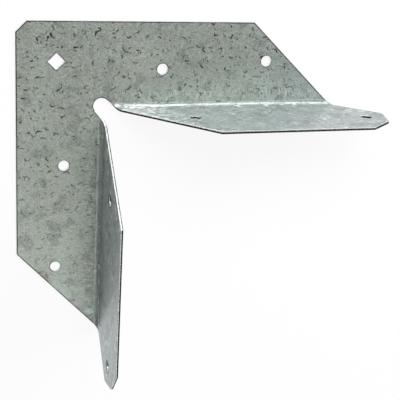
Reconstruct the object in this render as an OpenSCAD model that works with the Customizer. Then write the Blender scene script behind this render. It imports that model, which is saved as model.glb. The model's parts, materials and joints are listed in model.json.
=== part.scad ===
// Corner brace bracket: one piece of galvanised sheet, cut flat and folded twice.
// An L shaped plate carries a flange along the inner edge of each arm, and a relief
// slot on the diagonal parts the two flanges. The plate's back lies on Z = 0, one arm
// runs along +X and the other along -Y, and both flanges stand up along +Z.
// The origin is on the back's plane, under the middle of the bounding box.

/* [Sheet] */
// Thickness of the galvanised sheet
sheet_t = 1.8; // [1.2:0.1:2.6]
// Inner radius of both folds
fold_r = 3.2; // [1.6:0.1:4.4]

/* [Plate] */
// Width of an arm, from its outer edge to the outer face of its flange
arm_w = 58; // [50:1:72]
// Outer edge of an arm, from the plate's corner to the end cut
edge_l = 155.4; // [140:0.2:190]
// Angle of the end cuts, from square across the arm
end_angle = 47; // [40:1:50]
// Leg of the bevel on the plate's outer corner
corner_bevel = 7; // [3:0.5:12]

/* [Relief slot] */
// Radius of the slot's round end
slot_r = 5.3; // [4:0.1:5.5]
// Step of the slot's straight sides from the diagonal, measured along an arm
slot_gap = 7.8; // [7.8:0.1:12]
// Distance of the slot's round end past the start of both folds
slot_past_fold = 1.6; // [0.6:0.1:2.4]

/* [Flanges] */
// Height of a flange, from the plate's back to its free edge
flange_h = 60; // [50:1:68]
// Height of the tip's lower corner
tip_low = 27.7; // [20:0.1:32]
// Height of the tip's upper corner
tip_high = 47; // [40:0.1:49]
// Length by which the tip leans back between its two corners
tip_lean = 4.8; // [0:0.1:8]
// Length of the nose bevel along the flange, over the tip
nose_l = 16.4; // [8:0.1:24]
// Angle of the slanted edge above its fold, from upright
slant_angle = 42.7; // [41.4:0.1:45]

/* [Holes] */
// Diameter of the round screw holes
screw_d = 6.8; // [4:0.1:8]
// Side of the square hole near the plate's corner, turned on its point
square_side = 7.4; // [5:0.1:9]
// Distance of the square hole from both outer edges
square_in = 25.4; // [18:0.1:30]
// Distance of the middle hole from the plate's corner, along the arm
mid_hole_at = 94.3; // [80:0.1:110]
// Distance of the middle hole from the outer edge
mid_hole_in = 30.7; // [20:0.1:36]
// Distance of the end hole from the end cut, along the arm
end_hole_back = 17; // [12:0.1:30]
// Distance of the end hole from the outer edge
end_hole_in = 25.7; // [15:0.1:36]
// Distance of a flange's inner hole from the slanted edge, along the flange
inner_hole_back = 22.6; // [16:0.1:36]
// Height of a flange's inner hole
inner_hole_h = 27.6; // [15:0.1:40]
// Distance of a flange's outer hole from the tip, along the flange
outer_hole_back = 15.8; // [10:0.1:24]
// Height of a flange's outer hole
outer_hole_h = 35.5; // [26:0.1:38]

/* [Hidden] */
$fn = 96;
// Depth of the neutral line in the sheet, as a share of its thickness
neutral = 0.42;
// Steps round the quarter turn of a fold
fold_steps = 16;
// Length by which a cutting tool passes the surface it cuts
over = 1;

// The fold starts here, measured across the arm from its outer edge
fold_at = arm_w - sheet_t - fold_r;
// Width of flat sheet that the fold takes up
fold_flat = PI / 2 * (fold_r + neutral * sheet_t);
// Height at which a flange comes out of its fold
fold_top = sheet_t + fold_r;
end_slope = tan(end_angle);
slot_at = fold_at + slot_past_fold;

// Both cuts as lines on the flat sheet: length along the arm at a given width across it
function slot_edge(across) = across + slot_gap;
function end_edge(across) = edge_l + end_slope * across;
function swapped(points) = [for (i = [len(points) - 1:-1:0]) [points[i][1], points[i][0]]];

tip_at = end_edge(fold_at + fold_flat) + end_slope * (tip_low - fold_top);
// Slanted edge of a flange: length along the arm at a given height
function slanted_edge(height) = slot_edge(fold_at + fold_flat) + tan(slant_angle) * (height - fold_top);

// One arm of the plate up to its fold, from the corner bevel round to the slot
arm_points = [
    [corner_bevel, 0],
    [edge_l, 0],
    [end_edge(fold_at), fold_at],
    [slot_edge(fold_at), fold_at],
    [slot_at + slot_r / sqrt(2), slot_at - slot_r / sqrt(2)]
];

// A flange above its fold: slanted edge, end cut, blunt tip and nose bevel
flange_points = [
    [slanted_edge(fold_top), fold_top],
    [end_edge(fold_at + fold_flat), fold_top],
    [tip_at, tip_low],
    [tip_at - tip_lean, tip_high],
    [tip_at - tip_lean - nose_l, flange_h],
    [slanted_edge(flange_h), flange_h]
];

module plate_hole(along, across) {
    translate([along, across, -over]) cylinder(d = screw_d, h = sheet_t + 2 * over);
}

module plate() {
    difference() {
        linear_extrude(sheet_t) difference() {
            polygon(concat(arm_points, swapped(arm_points)));
            translate([slot_at, slot_at]) circle(slot_r);
        }
        translate([square_in, square_in, -over]) rotate(45)
            translate([-square_side / 2, -square_side / 2, 0])
            cube([square_side, square_side, sheet_t + 2 * over]);
        for (side = [0, 1]) mirror([side, -side, 0]) {
            plate_hole(mid_hole_at, mid_hole_in);
            plate_hole(end_edge(end_hole_in) - end_hole_back, end_hole_in);
        }
    }
}

// Four corners of the fold's section after a number of steps round it: inner face first,
// each face from the slot's side to the end cut
function fold_section(step) =
    let (turned = 90 * step / fold_steps, across = fold_at + fold_flat * step / fold_steps)
    [for (r = [fold_r, fold_r + sheet_t], along = [slot_edge(across), end_edge(across)])
        [along, fold_at + r * sin(turned), fold_top - r * cos(turned)]];

// The quarter round between plate and flange, with both cuts carried slanting across it
module fold() {
    last = 4 * fold_steps;
    polyhedron(
        points = [for (step = [0:fold_steps]) each fold_section(step)],
        faces = concat(
            [[0, 1, 3, 2], [last + 2, last + 3, last + 1, last]],
            [for (a = [0:4:last - 4]) each let (b = a + 4) [
                [a, b, b + 1, a + 1],
                [a + 3, b + 3, b + 2, a + 2],
                [a, a + 2, b + 2], [a, b + 2, b],
                [a + 1, b + 1, b + 3], [a + 1, b + 3, a + 3]
            ]]
        )
    );
}

module flange_hole(along, height) {
    translate([along, arm_w + over, height]) rotate([90, 0, 0])
        cylinder(d = screw_d, h = sheet_t + 2 * over);
}

module flange() {
    difference() {
        translate([0, arm_w, 0]) rotate([90, 0, 0]) linear_extrude(sheet_t) polygon(flange_points);
        flange_hole(slanted_edge(inner_hole_h) + inner_hole_back, inner_hole_h);
        flange_hole(tip_at - outer_hole_back, outer_hole_h);
    }
}

module corner_brace() {
    color("#a3aaa6") translate([-tip_at / 2, tip_at / 2, 0]) mirror([0, 1, 0]) union() {
        plate();
        for (side = [0, 1]) mirror([side, -side, 0]) {
            fold();
            flange();
        }
    }
}

corner_brace();
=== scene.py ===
import json
import math

import bpy
from mathutils import Euler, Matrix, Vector


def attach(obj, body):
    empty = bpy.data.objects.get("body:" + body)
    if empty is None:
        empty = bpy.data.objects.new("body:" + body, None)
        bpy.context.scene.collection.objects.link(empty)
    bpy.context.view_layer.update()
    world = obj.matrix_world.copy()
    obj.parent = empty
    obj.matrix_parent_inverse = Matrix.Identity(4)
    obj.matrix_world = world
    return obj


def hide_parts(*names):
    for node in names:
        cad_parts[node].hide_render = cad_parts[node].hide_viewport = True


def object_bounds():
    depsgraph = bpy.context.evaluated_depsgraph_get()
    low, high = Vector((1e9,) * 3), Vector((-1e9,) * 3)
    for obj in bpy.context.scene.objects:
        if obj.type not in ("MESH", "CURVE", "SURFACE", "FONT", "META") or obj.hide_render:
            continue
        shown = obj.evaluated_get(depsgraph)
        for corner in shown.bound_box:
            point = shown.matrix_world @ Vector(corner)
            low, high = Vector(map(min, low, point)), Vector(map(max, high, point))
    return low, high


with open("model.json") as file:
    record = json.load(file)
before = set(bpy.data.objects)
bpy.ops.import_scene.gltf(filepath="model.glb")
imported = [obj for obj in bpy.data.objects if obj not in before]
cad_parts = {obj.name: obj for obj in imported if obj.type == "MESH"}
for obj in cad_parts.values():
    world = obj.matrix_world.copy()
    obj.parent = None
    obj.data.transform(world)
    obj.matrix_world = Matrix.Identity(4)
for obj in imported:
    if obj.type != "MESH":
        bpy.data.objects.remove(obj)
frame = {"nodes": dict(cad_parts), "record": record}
cad_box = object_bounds()

# The whole brace is one blank of 1.8 mm galvanised steel sheet, an L punched out of the coil with
# its holes, then folded up along both inner edges, where a relief slot lets the flanges fold apart.
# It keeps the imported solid's shape and adds the small roll that shears and punches leave on edges.
cad_sheet = frame["nodes"]["corner_brace"]
brace = bpy.data.objects.new("brace_sheet", cad_sheet.data.copy())
bpy.context.scene.collection.objects.link(brace)
bpy.ops.object.select_all(action="DESELECT")
brace.select_set(True)
bpy.context.view_layer.objects.active = brace
bpy.ops.mesh.customdata_custom_splitnormals_clear()
bpy.ops.object.mode_set(mode="EDIT")
bpy.ops.mesh.select_all(action="SELECT")
weld_distance = 0.000004
bpy.ops.mesh.remove_doubles(threshold=weld_distance)

# A seam through the middle of each hole, across its arm, keeps the flat faces in pieces that none
# of the holes lies inside, so that their edges stay clean when the bevel and the inset follow.
corner_x = cad_box[0][0]
corner_y = cad_box[1][1]
mounts = frame["record"]["mounts"]
hole_names = ("_hole", "_hole_x", "_hole_y")
holes = [Vector(mount["pos_m"]) for mount in mounts if mount["name"].endswith(hole_names)]
for hole in holes:
    across_arm = (1, 0, 0) if corner_y - hole.y <= hole.x - corner_x else (0, 1, 0)
    bpy.ops.mesh.select_all(action="SELECT")
    bpy.ops.mesh.bisect(plane_co=hole, plane_no=across_arm)
    bpy.ops.mesh.mark_seam()
bpy.ops.mesh.select_all(action="SELECT")
flat_within = math.radians(0.6)
bpy.ops.mesh.dissolve_limited(angle_limit=flat_within, delimit={"SEAM"})
bpy.ops.object.mode_set(mode="OBJECT")

edge_roll = 0.0003
rolled = brace.modifiers.new("rolled_edges", "BEVEL")
rolled.width = edge_roll
rolled.segments = 2
rolled.limit_method = "ANGLE"
rolled.angle_limit = math.radians(38)
rolled.use_clamp_overlap = False
bpy.ops.object.modifier_apply(modifier=rolled.name)

# The blank laid flat again: each point of the folded sheet is given its place on the sheet before it
# was bent, so that the flecks of the zinc run on over the folds as they do on the real coil. The
# same sums tell the mill's flat faces from those that the press cut.
fold_at = 0.053
fold_centre = 0.005
fold_length = 0.006214
square_bend = math.pi / 2


def lay_flat(place):
    from_left = place.x - corner_x
    from_top = corner_y - place.y
    across = min(from_left, from_top)
    deep = place.z
    turned = 0.0
    if across > fold_at and place.z > fold_centre:
        turned = square_bend
        deep = fold_at + fold_centre - across
        across = fold_at + fold_length + place.z - fold_centre
    elif across > fold_at:
        turned = math.atan2(across - fold_at, fold_centre - place.z)
        deep = fold_centre - math.hypot(across - fold_at, fold_centre - place.z)
        across = fold_at + fold_length * turned / square_bend
    return Vector((max(from_left, from_top), across, deep)), turned, from_top <= from_left


def face_on_sheet(face):
    turned, deep, along_x = 0.0, 0.0, 0
    for index in face.vertices:
        laid, bend, is_x = lay_flat(brace.data.vertices[index].co)
        turned += bend / len(face.vertices)
        deep += laid.z / len(face.vertices)
        along_x += 1 if is_x else -1
    out = Vector((0, math.sin(turned), math.cos(turned)))
    if along_x < 0:
        out = Vector((-math.sin(turned), 0, math.cos(turned)))
    return abs(face.normal.dot(out)), turned, along_x > 0, deep


# A narrow band is inset into the mill faces beside every cut. It carries painted shade: a dark band
# round the plate, and on one flange along its slanted edge and round its holes.
edge_shade_width = 0.0012
mill_face = 0.97
for face in brace.data.polygons:
    face.select = face_on_sheet(face)[0] > mill_face
bpy.ops.object.mode_set(mode="EDIT")
bpy.ops.mesh.select_mode(type="FACE")
bpy.ops.mesh.inset(thickness=edge_shade_width, depth=0, use_boundary=True, use_even_offset=True)
bpy.ops.object.mode_set(mode="OBJECT")
bpy.ops.object.shade_smooth_by_angle(angle=math.radians(50))
flat = brace.modifiers.new("flat_faces", "WEIGHTED_NORMAL")
flat.keep_sharp = True
bpy.ops.object.modifier_apply(modifier=flat.name)

for name, kind, domain in (
    ("flat_blank", "FLOAT_VECTOR", "POINT"),
    ("arm_place", "FLOAT_VECTOR", "POINT"),
    ("bent", "FLOAT", "POINT"),
    ("edge_shade", "FLOAT", "POINT"),
    ("torn_and_shade_part", "FLOAT", "FACE"),
    ("shine_and_highlight", "FLOAT", "FACE"),
):
    brace.data.attributes.new(name, kind, domain)
on_blank = brace.data.attributes
for vertex in brace.data.vertices:
    vertex.co.z = max(vertex.co.z, 0.0)
    laid, turned, is_x = lay_flat(vertex.co)
    if is_x:
        place = (vertex.co.x, corner_y - laid.y, laid.z)
    else:
        place = (corner_x + laid.y, vertex.co.y, laid.z)
    on_blank["arm_place"].data[vertex.index].vector = laid
    on_blank["bent"].data[vertex.index].value = turned / square_bend
    on_blank["flat_blank"].data[vertex.index].vector = place

# The zinc coat is a dull greenish grey, clouded where it froze unevenly, with short dark curls,
# flecks and fine veins. The coil was rolled along one way, and the press brake polished the folds
# and left streaks on the flanges, which also carry painted highlight. All lengths below are
# millimetres on the flat blank.
zinc = bpy.data.materials.new("zinc_coat")
zinc.use_nodes = True
to_millimetres = 1000.0


def place_node(material, kind, settings, **sockets):
    made = material.node_tree.nodes.new(kind)
    for name, value in settings.items():
        setattr(made, name, value)
    for name, value in sockets.items():
        if name[0] == "s" and name[1:].isdigit():
            socket = made.inputs[int(name[1:])]
        else:
            socket = made.inputs[name.replace("_", " ")]
        if isinstance(value, bpy.types.NodeSocket):
            material.node_tree.links.new(value, socket)
        else:
            socket.default_value = value
    return made


def number(material, operation, first, second=0.0, third=0.0, clamp=False):
    settings = {"operation": operation, "use_clamp": clamp}
    made = place_node(material, "ShaderNodeMath", settings, s0=first, s1=second, s2=third)
    return made.outputs[0]


def times(material, first, *others):
    for other in others:
        first = number(material, "MULTIPLY", first, other)
    return first


def away_from(material, value, line):
    return number(material, "ABSOLUTE", number(material, "SUBTRACT", value, line))


def arrow(material, operation, first, second=(0, 0, 0), result="Vector"):
    settings = {"operation": operation}
    made = place_node(material, "ShaderNodeVectorMath", settings, s0=first, s1=second)
    return made.outputs[result]


def ramp(material, value, low, high, start=0.0, end=1.0):
    settings = {"interpolation_type": "SMOOTHSTEP"}
    made = place_node(
        material, "ShaderNodeMapRange", settings, Value=value, From_Min=low, From_Max=high
    )
    made.inputs["To Min"].default_value = start
    made.inputs["To Max"].default_value = end
    return made.outputs["Result"]


def cloud(material, vector, size, detail=2.0, roughness=0.5, result=0):
    made = place_node(
        material,
        "ShaderNodeTexNoise",
        {},
        Vector=vector,
        Scale=1 / size,
        Detail=detail,
        Roughness=roughness,
    )
    return made.outputs[result]


def tint(material, share, first, second, blend="MIX"):
    settings = {"data_type": "RGBA", "blend_type": blend, "clamp_factor": True}
    made = place_node(material, "ShaderNodeMix", settings, s0=share, s6=first, s7=second)
    return made.outputs[2]


def stored(material, attribute, result="Fac"):
    made = place_node(material, "ShaderNodeAttribute", {"attribute_name": attribute})
    return made.outputs[result]


def sheet_place(material, attribute):
    laid = stored(material, attribute, "Vector")
    scaled = place_node(material, "ShaderNodeVectorMath", {"operation": "SCALE"}, s0=laid)
    scaled.inputs["Scale"].default_value = to_millimetres
    return scaled.outputs["Vector"]


def length_along(material, vector, axis):
    return place_node(material, "ShaderNodeSeparateXYZ", {}, Vector=vector).outputs[axis]


def scatter(material, shifted, cell):
    settings = {"voronoi_dimensions": "2D"}
    cells = place_node(
        material, "ShaderNodeTexVoronoi", settings, Vector=shifted, Scale=1 / cell
    )
    apart = arrow(material, "SUBTRACT", shifted, cells.outputs["Position"])
    chance = place_node(material, "ShaderNodeSeparateColor", {}, Color=cells.outputs["Color"])
    return apart, chance.outputs


def curl_marks(material, vector, cell, smallest, largest, thick, share, seed):
    shifted = arrow(material, "ADD", vector, (seed * 31.7, seed * 17.3, 0))
    apart, chance = scatter(material, shifted, cell)
    apart = arrow(material, "MULTIPLY", apart, (1, 1, 0))
    reach = ramp(material, chance[0], 0, 1, smallest, largest)
    off_ring = away_from(material, arrow(material, "LENGTH", apart, result="Value"), reach)
    turn = times(material, chance[1], 2 * math.pi)
    side = times(material, number(material, "COSINE", turn), 0.6)
    up = number(material, "SINE", turn)
    facing = place_node(material, "ShaderNodeCombineXYZ", {}, X=side, Y=up).outputs[0]
    apart_way = arrow(material, "NORMALIZE", apart)
    facing_way = arrow(material, "NORMALIZE", facing)
    along = arrow(material, "DOT_PRODUCT", apart_way, facing_way, "Value")
    wide = times(material, ramp(material, along, 0.35, 0.95), thick)
    inside = number(material, "SUBTRACT", wide, off_ring)
    mark = number(material, "MULTIPLY", inside, 3.2 / thick, clamp=True)
    kept = number(material, "LESS_THAN", chance[2], share)
    broken = ramp(material, cloud(material, shifted, 1.5, 1.0), 0.3, 0.46, 0.25, 1.0)
    return times(material, mark, kept, broken)


def fleck_marks(material, vector, cell, long, short, share, seed):
    shifted = arrow(material, "ADD", vector, (seed * 13.1, seed * 29.9, 0))
    apart, chance = scatter(material, shifted, cell)
    angle = ramp(material, chance[1], 0, 1, -1.3, 1.3)
    settings = {"rotation_type": "Z_AXIS"}
    turned = place_node(
        material, "ShaderNodeVectorRotate", settings, Vector=apart, Angle=angle
    ).outputs[0]
    drawn_out = arrow(material, "MULTIPLY", turned, (1 / long, 1 / short, 0))
    inside = number(material, "SUBTRACT", 1.0, arrow(material, "LENGTH", drawn_out, result="Value"))
    mark = number(material, "MULTIPLY", inside, 2.5, clamp=True)
    return times(material, mark, number(material, "LESS_THAN", chance[0], share))


on_sheet = sheet_place(zinc, "flat_blank")
on_arm = sheet_place(zinc, "arm_place")
along_top = length_along(zinc, on_sheet, 0)
down_arm = length_along(zinc, on_sheet, 1)
along = length_along(zinc, on_arm, 0)
across = length_along(zinc, on_arm, 1)
folded = stored(zinc, "bent")
drift = cloud(zinc, on_sheet, 4.0, result="Color")
wander = arrow(zinc, "MULTIPLY", arrow(zinc, "SUBTRACT", drift, (0.5, 0.5, 0.5)), (2.2, 2.2, 0))
wandered = arrow(zinc, "ADD", on_sheet, wander)

# Curls and flecks of frozen dross, strong on the upper arm and faint down the lower one, with a
# few round pits and one dark smudge beside the upper arm's end hole.
large_curls = curl_marks(
    zinc, wandered, cell=9.0, smallest=1.4, largest=3.2, thick=0.66, share=0.85, seed=1
)
small_curls = curl_marks(
    zinc, wandered, cell=6.5, smallest=0.8, largest=2.0, thick=0.52, share=0.75, seed=2
)
flecks = fleck_marks(zinc, wandered, cell=5.5, long=1.1, short=0.42, share=0.6, seed=3)
specks = fleck_marks(zinc, wandered, cell=3.2, long=0.5, short=0.38, share=0.4, seed=4)
speck_strength = 0.55
marks = number(zinc, "MAXIMUM", large_curls, small_curls)
marks = number(zinc, "MAXIMUM", marks, flecks)
marks = number(zinc, "MAXIMUM", marks, times(zinc, specks, speck_strength))
strength = ramp(zinc, cloud(zinc, on_sheet, 8.0, 1.0), 0.36, 0.58, 0.4, 1.15)
down_fade = ramp(zinc, down_arm, -35.0, 75.0, 0.4, 1.0)
inward_fade = ramp(zinc, across, 12.0, 45.0, 1.0, 0.78)
marks = times(zinc, marks, strength, times(zinc, down_fade, inward_fade))
pits = fleck_marks(zinc, wandered, cell=20.0, long=0.62, short=0.5, share=0.55, seed=5)
smudge_at = (24.3, 98.4, 0)
off_smudge = arrow(zinc, "SUBTRACT", arrow(zinc, "MULTIPLY", wandered, (0.6, 1, 0)), smudge_at)
smudge = ramp(zinc, arrow(zinc, "LENGTH", off_smudge, result="Value"), 0.5, 1.3, 0.9, 0.0)
pits = number(zinc, "MAXIMUM", pits, smudge)

# Fine dark and light veins between the grains of the zinc, and cloudy dark patches.
dark_vein_strength = 0.35
light_vein_strength = 0.3
patch_strength = 0.34
vein = away_from(zinc, cloud(zinc, wandered, 5.0, 3.0, 0.6), 0.5)
dark_vein = times(zinc, ramp(zinc, vein, 0.0, 0.012, 1.0, 0.0), dark_vein_strength)
elsewhere = arrow(zinc, "ADD", wandered, (61, 22, 0))
vein = away_from(zinc, cloud(zinc, elsewhere, 4.0, 3.0, 0.6), 0.5)
light_vein = times(zinc, ramp(zinc, vein, 0.0, 0.014, 1.0, 0.0), light_vein_strength)
patch = ramp(zinc, cloud(zinc, on_sheet, 10.0), 0.54, 0.64)
patch_grain = ramp(zinc, cloud(zinc, on_sheet, 1.0, 2.0, 0.7), 0.3, 0.6)
patch = times(zinc, patch, patch_grain, patch_strength)
shade = cloud(zinc, on_sheet, 26.0)
grain = cloud(zinc, on_sheet, 0.75, 2.0, 0.6)

# Streaks that the press brake rubbed bright along the flanges, which also carry painted highlight,
# most near the corner of the upper arm where they widen the fold's highlight, the lines of its die
# over the folds, and the coat pulled across the plate beside them.
fold_middle = 56.0
pulled_middle = 48.5
corner_rub_and_sheen = 0.057
corner_rub_and_sheen_place = 0.28
from_left = number(zinc, "ADD", along_top, to_millimetres * -corner_x)
on_top_arm = number(zinc, "GREATER_THAN", from_left, number(zinc, "ADD", across, 1.0))
# Painted highlight: near the upper arm's corner the streaks are made denser and wider, lightening
# the flange by the fold.
near_corner = times(zinc, ramp(zinc, along, 70.0, 115.0, 1.0, 0.0), on_top_arm)
streak = cloud(zinc, arrow(zinc, "MULTIPLY", on_arm, (0.35, 1.0, 1.0)), 1.7, 3.0, 0.65)
streak = number(zinc, "ADD", streak, times(zinc, near_corner, corner_rub_and_sheen))
rub_and_sheen_place = cloud(zinc, on_sheet, 12.0)
rub_and_sheen_place = number(zinc, "ADD", rub_and_sheen_place, times(zinc, near_corner, corner_rub_and_sheen_place))
rubbed_and_sheen = times(
    zinc,
    ramp(zinc, streak, 0.54, 0.61),
    ramp(zinc, rub_and_sheen_place, 0.36, 0.62),
    ramp(zinc, folded, 0.15, 0.6),
    ramp(zinc, along, 110.0, 190.0, 1.0, 0.7),
)
die_lines = cloud(zinc, arrow(zinc, "MULTIPLY", on_arm, (0.09, 1.0, 1.0)), 0.7, 2.0, 0.6)
at_fold = ramp(zinc, away_from(zinc, across, fold_middle), 4.0, 7.0, 1.0, 0.0)
die_lines = times(zinc, ramp(zinc, die_lines, 0.42, 0.62), at_fold)
pulled = cloud(zinc, arrow(zinc, "MULTIPLY", on_arm, (1.0, 0.22, 1.0)), 0.75, 2.0, 0.6)
beside_fold = ramp(zinc, away_from(zinc, across, pulled_middle), 2.5, 6.0, 1.0, 0.0)
pulled = times(zinc, ramp(zinc, pulled, 0.35, 0.65, -0.22, 0.22), beside_fold)

# The colours go on in the order in which they lie: the grey ground, its clouds and veins, the
# press marks with their painted highlight, a light line along the start of each fold, one light
# spot, and the dark marks over all; painted shade beside the cuts goes on last.
green = (0.452, 0.506, 0.450, 1)
warm = (0.466, 0.502, 0.446, 1)
cool = (0.450, 0.506, 0.486, 1)
blue = (0.425, 0.472, 0.474, 1)
dark = (0.035, 0.041, 0.034, 1)
scored_grey = (0.16, 0.18, 0.17, 1)
bright = (0.86, 0.92, 0.92, 1)
fold_start_at = 53.1
light_spot_at = (-71.7, -80.5, 0)
flange_fade = 0.55
die_line_strength = 0.3
rubbed_and_sheen_strength = 0.85
mark_strength = 0.85
colour = tint(zinc, ramp(zinc, cloud(zinc, on_sheet, 14.0), 0.4, 0.65), green, warm)
colour = tint(zinc, ramp(zinc, along_top, 10.0, 70.0, 0.0, 0.7), colour, cool)
colour = tint(zinc, folded, colour, blue)
broad_light = ramp(zinc, shade, 0.3, 0.7, 0.95, 1.05)
light = number(zinc, "ADD", broad_light, ramp(zinc, grain, 0.25, 0.75, -0.24, 0.24))
light = number(zinc, "ADD", light, pulled)
lighter = place_node(zinc, "ShaderNodeCombineColor", {}, Red=light, Green=light, Blue=light)
colour = tint(zinc, 1.0, colour, lighter.outputs[0], "MULTIPLY")
colour = tint(zinc, patch, colour, dark)
colour = tint(zinc, light_vein, colour, bright)
colour = tint(zinc, dark_vein, colour, dark)
colour = tint(zinc, times(zinc, die_lines, die_line_strength), colour, scored_grey)
# Rubbed streaks, partly painted highlight, lighten the flanges toward white.
colour = tint(zinc, times(zinc, rubbed_and_sheen, rubbed_and_sheen_strength), colour, bright)
# A light line along the start of each fold, broken in places.
fold_start_line = ramp(zinc, away_from(zinc, across, fold_start_at), 0.15, 0.6, 1.0, 0.0)
fold_start_breaks = ramp(zinc, cloud(zinc, on_sheet, 2.5, 1.0), 0.35, 0.6, 0.15, 0.5)
colour = tint(zinc, times(zinc, fold_start_line, fold_start_breaks), colour, bright)
# One light spot on the plate, broken by the grain.
off_light_spot = arrow(zinc, "SUBTRACT", arrow(zinc, "MULTIPLY", wandered, (1, 1, 0)), light_spot_at)
off_light_spot = arrow(zinc, "LENGTH", off_light_spot, result="Value")
light_spot = ramp(zinc, off_light_spot, 1.0, 3.6, 1.0, 0.0)
light_spot = times(zinc, light_spot, ramp(zinc, grain, 0.35, 0.6, 0.25, 0.8))
colour = tint(zinc, light_spot, colour, bright)
on_flange = times(zinc, ramp(zinc, folded, 0.02, 0.16), flange_fade)
plate_marks = times(zinc, marks, number(zinc, "SUBTRACT", 1.0, on_flange))
colour = tint(zinc, times(zinc, plate_marks, mark_strength), colour, dark)
colour = tint(zinc, pits, colour, dark)

# Painted shade: the band beside the cuts is darkened, in patches round the plate and fully on the
# flange.
edge_shade = stored(zinc, "edge_shade")
edge_shade_patches = ramp(zinc, cloud(zinc, on_sheet, 14.0), 0.35, 0.6, 0.55, 0.95)
plate_edge_shade = times(zinc, ramp(zinc, edge_shade, 0.4, 0.85), edge_shade_patches)
flange_edge_shade = times(zinc, ramp(zinc, edge_shade, 0.0, 0.4, 0.0, 0.9), folded)
colour = tint(zinc, number(zinc, "MAXIMUM", plate_edge_shade, flange_edge_shade), colour, dark)

height = times(zinc, grain, 0.5)
height = number(zinc, "SUBTRACT", height, times(zinc, marks, 0.6))
height = number(zinc, "SUBTRACT", height, times(zinc, die_lines, 0.25))
relief = place_node(zinc, "ShaderNodeBump", {}, Height=height)
relief.inputs["Strength"].default_value = 0.3
relief.inputs["Distance"].default_value = 0.00015

metal = number(zinc, "SUBTRACT", 0.85, times(zinc, rubbed_and_sheen, 0.8))
rough = number(zinc, "ADD", ramp(zinc, grain, 0.2, 0.8, 0.38, 0.52), times(zinc, marks, 0.2))
rough = number(zinc, "SUBTRACT", rough, times(zinc, rubbed_and_sheen, 0.1), clamp=True)
coat = zinc.node_tree.nodes["Principled BSDF"]
zinc.node_tree.links.new(colour, coat.inputs["Base Color"])
zinc.node_tree.links.new(metal, coat.inputs["Metallic"])
zinc.node_tree.links.new(rough, coat.inputs["Roughness"])
zinc.node_tree.links.new(relief.outputs["Normal"], coat.inputs["Normal"])

# Cut walls are bare steel under a smear of zinc. The blade leaves a smooth bright band where it
# enters, and a rough dark one where the sheet tore off. Each face is told how deep it tore, in
# millimetres, and how much its smooth part shines. These shares are set by which way a face looks
# and on which arm it lies, so the dark part is partly painted shade and the bright part partly
# painted highlight.
steel = bpy.data.materials.new("sheared_steel")
steel.use_nodes = True
torn_and_shade_dark = (0.008, 0.009, 0.009, 1)
torn_light = (0.035, 0.035, 0.034, 1)
smooth_grey = (0.72, 0.76, 0.75, 1)
smooth_white = (0.94, 0.96, 0.95, 1)
unpolished = (0.30, 0.33, 0.31, 1)
on_edge = sheet_place(steel, "flat_blank")
shine_and_highlight = stored(steel, "shine_and_highlight")
tear = ramp(steel, cloud(steel, on_edge, 0.9), 0.3, 0.7, -0.15, 0.15)
polish = number(steel, "ADD", length_along(steel, on_edge, 2), tear)
polish = number(steel, "SUBTRACT", polish, stored(steel, "torn_and_shade_part"))
polish = ramp(steel, polish, -0.12, 0.12)
scored = cloud(steel, arrow(steel, "MULTIPLY", on_edge, (1, 1, 0.15)), 0.35)
torn_and_shade = tint(steel, ramp(steel, scored, 0.35, 0.7), torn_and_shade_dark, torn_light)
smooth = tint(steel, ramp(steel, scored, 0.3, 0.7), smooth_grey, smooth_white)
smooth = tint(steel, shine_and_highlight, unpolished, smooth)
ridges = place_node(steel, "ShaderNodeBump", {}, Height=scored)
ridges.inputs["Strength"].default_value = 0.3
ridges.inputs["Distance"].default_value = 0.00008
wall = steel.node_tree.nodes["Principled BSDF"]
wall.inputs["Specular IOR Level"].default_value = 0.15
wall_metal = ramp(steel, shine_and_highlight, 0.92, 1.0, 0.35, 0.95)
wall_rough = ramp(steel, polish, 0, 1, 0.62, 0.4)
steel.node_tree.links.new(tint(steel, polish, torn_and_shade, smooth), wall.inputs["Base Color"])
steel.node_tree.links.new(wall_metal, wall.inputs["Metallic"])
steel.node_tree.links.new(wall_rough, wall.inputs["Roughness"])
steel.node_tree.links.new(ridges.outputs["Normal"], wall.inputs["Normal"])

brace.data.materials.clear()
brace.data.materials.append(zinc)
brace.data.materials.append(steel)
plate_bend = 0.01
flange_bend = 1.55
hole_reach = 0.0046
slot_reach = 0.02
half_sheet = 0.0009
below_free_edge = 0.0592
all_torn_and_shade = (9.0, 0.0)
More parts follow.
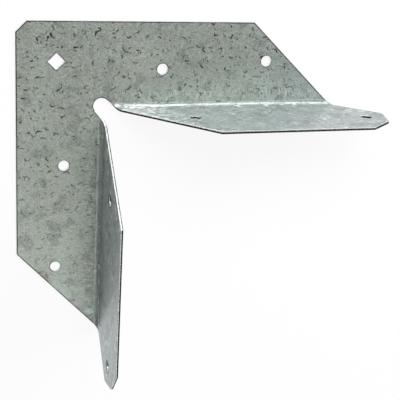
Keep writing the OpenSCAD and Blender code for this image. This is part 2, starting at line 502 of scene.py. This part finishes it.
# Painted shade and highlight: walls of one kind of cut get different dark and bright shares by the
# way they face and the arm they lie on, blackening shaded edges and bores and whitening lit edges.
for face in brace.data.polygons:
    upright, turned, along_x, deep = face_on_sheet(face)
    if upright > mill_face:
        continue
    normal = face.normal
    on_plate = turned < plate_bend
    on_fold = plate_bend < turned < flange_bend
    on_flange_top = turned > flange_bend and normal.z > 0.2 and not (along_x and normal.x > 0.5)
    at_slot = on_fold and abs(face.center.x + face.center.y) < slot_reach
    in_hole = min((face.center - hole).length for hole in holes) < hole_reach
    faces_up = normal.z > 0.9
    faces_nose = normal.y < -0.3
    faces_corner = normal.y > 0.3
    faces_out = normal.y - normal.x > 0.9
    if at_slot:
        cut = (1.2, 0.1) if along_x else (0.3, 0.92)
    elif on_flange_top and faces_nose:
        cut = (1.0, 1.0)
    elif on_flange_top and faces_up:
        cut = (1.2, 0.15) if along_x else (1.1, 0.65)
    elif on_flange_top:
        cut = (1.2, 0.9) if along_x else (0.6, 0.9)
    elif in_hole and on_plate:
        cut = (0.45, 0.85)
    elif in_hole:
        cut = all_torn_and_shade if along_x else (0.8, 0.8)
    elif on_plate and faces_out:
        cut = (0.4, 0.6)
    else:
        cut = all_torn_and_shade
    if upright < 0.3 or along_x or not (on_flange_top and deep > half_sheet):
        face.material_index = 1
    on_blank["torn_and_shade_part"].data[face.index].value = cut[0]
    on_blank["shine_and_highlight"].data[face.index].value = cut[1]
    # Painted shade: the band beside these cuts is marked to be darkened.
    if on_plate or not along_x and (in_hole or faces_corner):
        for index in face.vertices:
            if brace.data.vertices[index].co.z < below_free_edge:
                on_blank["edge_shade"].data[index].value = 1.0
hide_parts("corner_brace")
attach(brace, "root")

# The studio has a white floor that the brace lies on, a hair below it. It shows white to the camera
# and in reflections, and keeps the brace's soft shadow.
floor_gap = 0.0004
floor_white = 0.88
bpy.ops.object.select_all(action="DESELECT")
bpy.ops.mesh.primitive_plane_add(size=40, location=(0, 0, -floor_gap))
floor = bpy.context.object
floor.name = "floor"
white = bpy.data.materials.new("white_floor")
white.use_nodes = True
matt = white.node_tree.nodes["Principled BSDF"]
matt.inputs["Base Color"].default_value = (floor_white, floor_white, floor_white, 1)
matt.inputs["Roughness"].default_value = 0.9
path = place_node(white, "ShaderNodeLightPath", {}).outputs
seen = number(white, "MAXIMUM", path["Is Camera Ray"], path["Is Glossy Ray"])
seen = number(white, "MAXIMUM", seen, path["Is Transmission Ray"])
glow = place_node(white, "ShaderNodeEmission", {}, Strength=1.0).outputs[0]
share = times(white, seen, floor_white)
blend = place_node(white, "ShaderNodeMixShader", {}, s0=share, s1=matt.outputs[0], s2=glow)
surface = white.node_tree.nodes["Material Output"].inputs["Surface"]
white.node_tree.links.new(blend.outputs[0], surface)
floor.data.materials.append(white)

# Grey light comes from all round, and five round softboxes stand two metres off, each given by its
# height and its turn from the X axis in degrees, and its power in watts.
world = bpy.data.worlds.new("studio")
bpy.context.scene.world = world
world.use_nodes = True
sky = world.node_tree.nodes["Background"]
sky.inputs["Color"].default_value = (0.11, 0.11, 0.11, 1)
sky.inputs["Strength"].default_value = 1.0
box_distance = 2.0
box_width = 1.3
for name, height, round_from_x, power in (
    ("key_box", 45, 90, 29),
    ("side_box", 22, 40, 23),
    ("low_box", 22, 0, 14.5),
    ("left_box", 22, 150, 10),
    ("back_box", 50, 270, 8.5),
):
    up = math.radians(height)
    turn = math.radians(round_from_x)
    toward = Vector((math.cos(up) * math.cos(turn), math.cos(up) * math.sin(turn), math.sin(up)))
    bpy.ops.object.light_add(type="AREA", location=toward * box_distance)
    box = bpy.context.object
    box.name = name
    box.data.shape = "DISK"
    box.data.size = box_width
    box.data.energy = power
    box.rotation_euler = (-toward).to_track_quat("-Z", "Y").to_euler()

# The camera stands at the photograph's viewing angle, above the outer corner and looking down into
# the brace. Its place and lens come from a fit to the photograph's outlines.
bpy.ops.object.camera_add(location=(-0.18998, 0.2253, 0.57908))
camera = bpy.context.object
tilt = (math.radians(-21.564), math.radians(-17.225), math.radians(3.716))
camera.rotation_euler = Euler(tilt, "XYZ")
camera.data.sensor_width = 36
camera.data.lens = 84.448
camera.data.clip_start = 0.01
bpy.context.scene.camera = camera
bpy.context.scene.view_settings.view_transform = "Standard"
